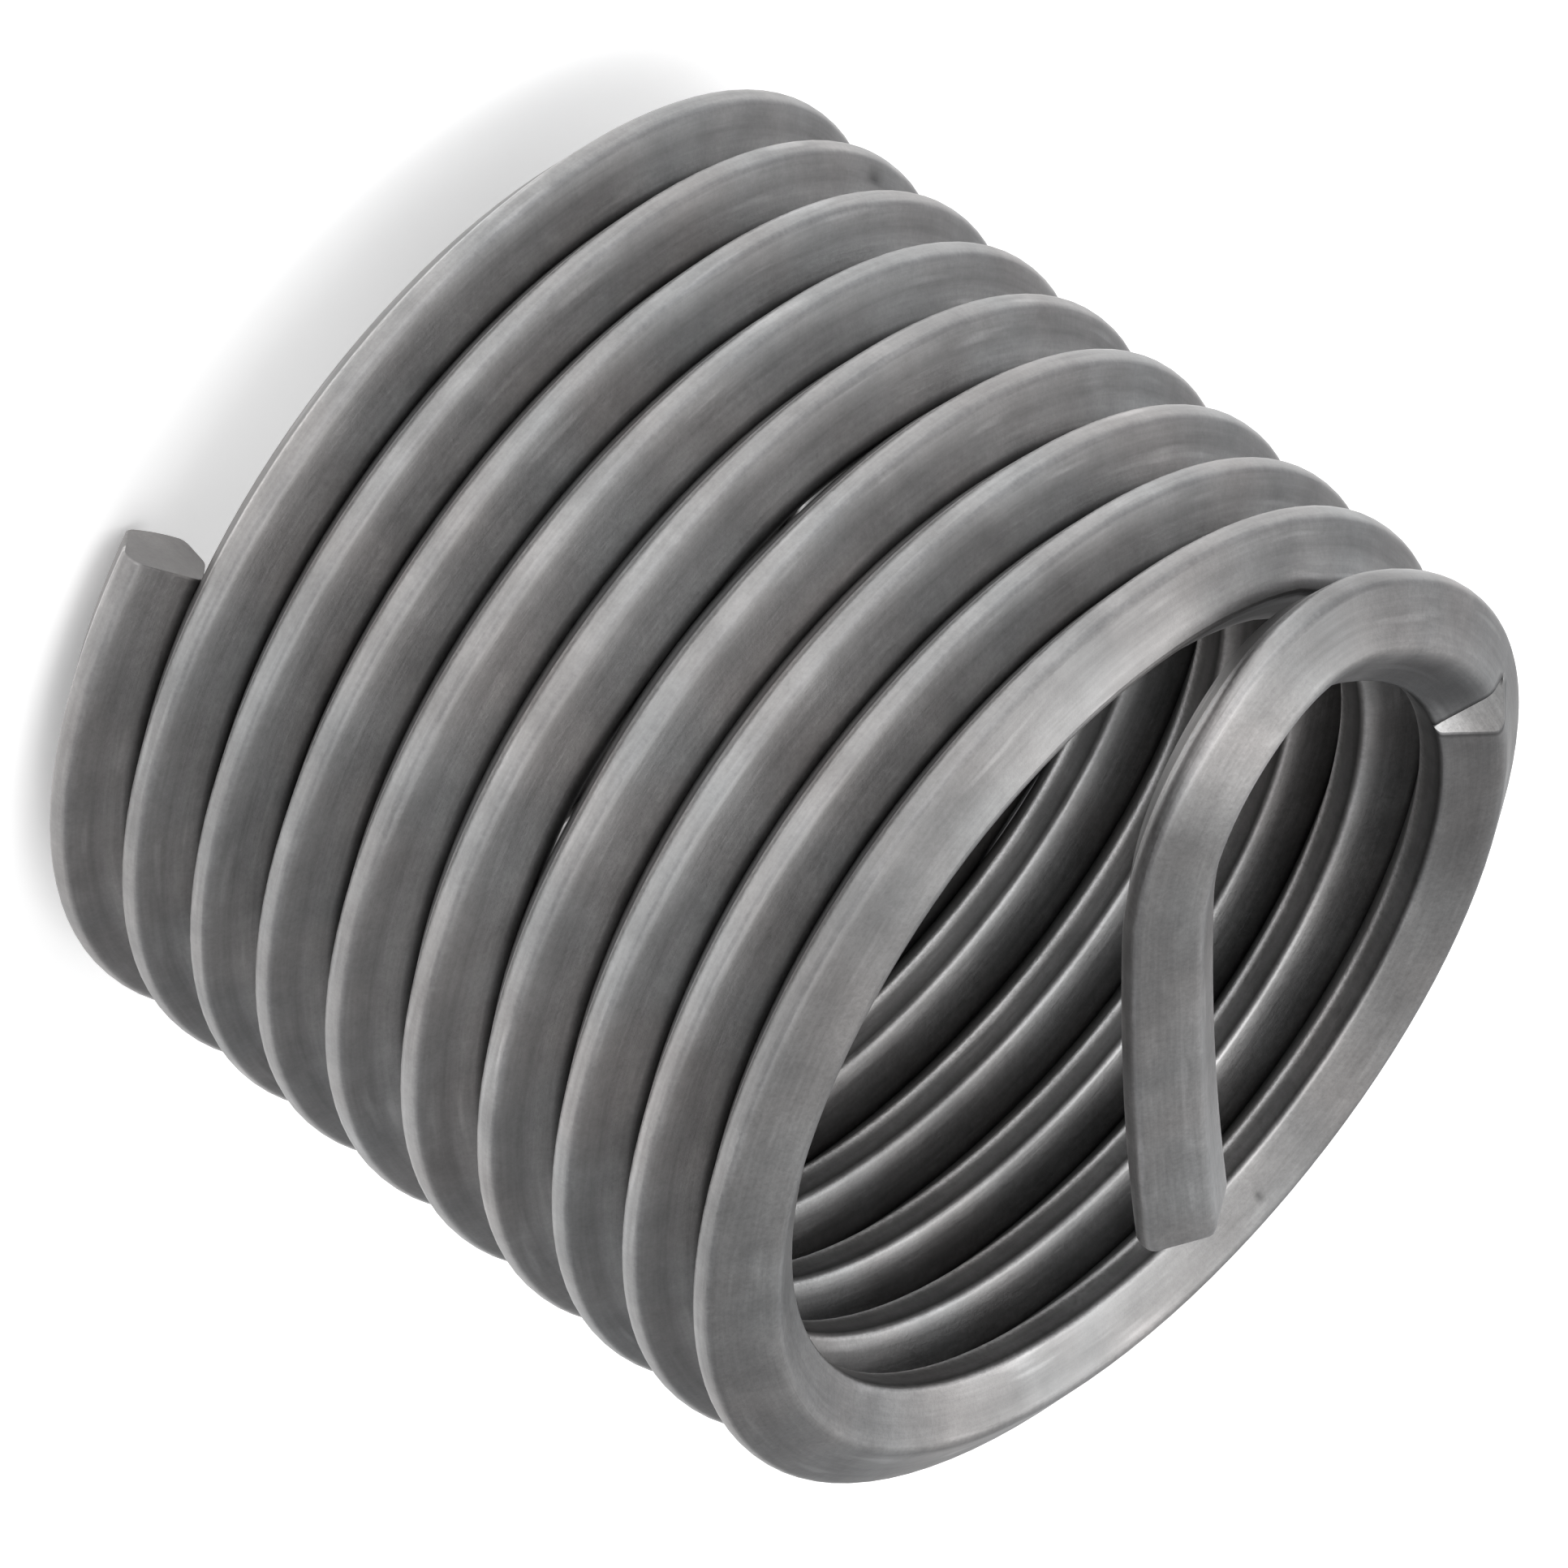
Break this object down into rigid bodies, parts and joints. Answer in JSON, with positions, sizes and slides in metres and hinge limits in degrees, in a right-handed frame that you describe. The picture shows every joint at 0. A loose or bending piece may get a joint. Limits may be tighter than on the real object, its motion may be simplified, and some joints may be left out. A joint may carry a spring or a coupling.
{
  "type": "helical thread insert",
  "caption": "Coil of diamond-section stainless wire that lines a tapped hole with a new thread; a notched driving tang crosses one end.",
  "frame": {"origin": "on the coil's axis, level with the lowest point of the plain end, on which the insert stands", "axes": "+Z along the coil's axis, from the plain end to the tang; +X is the direction from which the cut plain end is 292 degrees round, anticlockwise seen from +Z"},
  "size_m": [0.0142, 0.0142, 0.0138],
  "materials": {
    "stainless_wire": "drawn and rolled wire, satin grey"
  },
  "bodies": {
    "root": {"coiled_wire": "stainless_wire"}
  },
  "joints": []
}
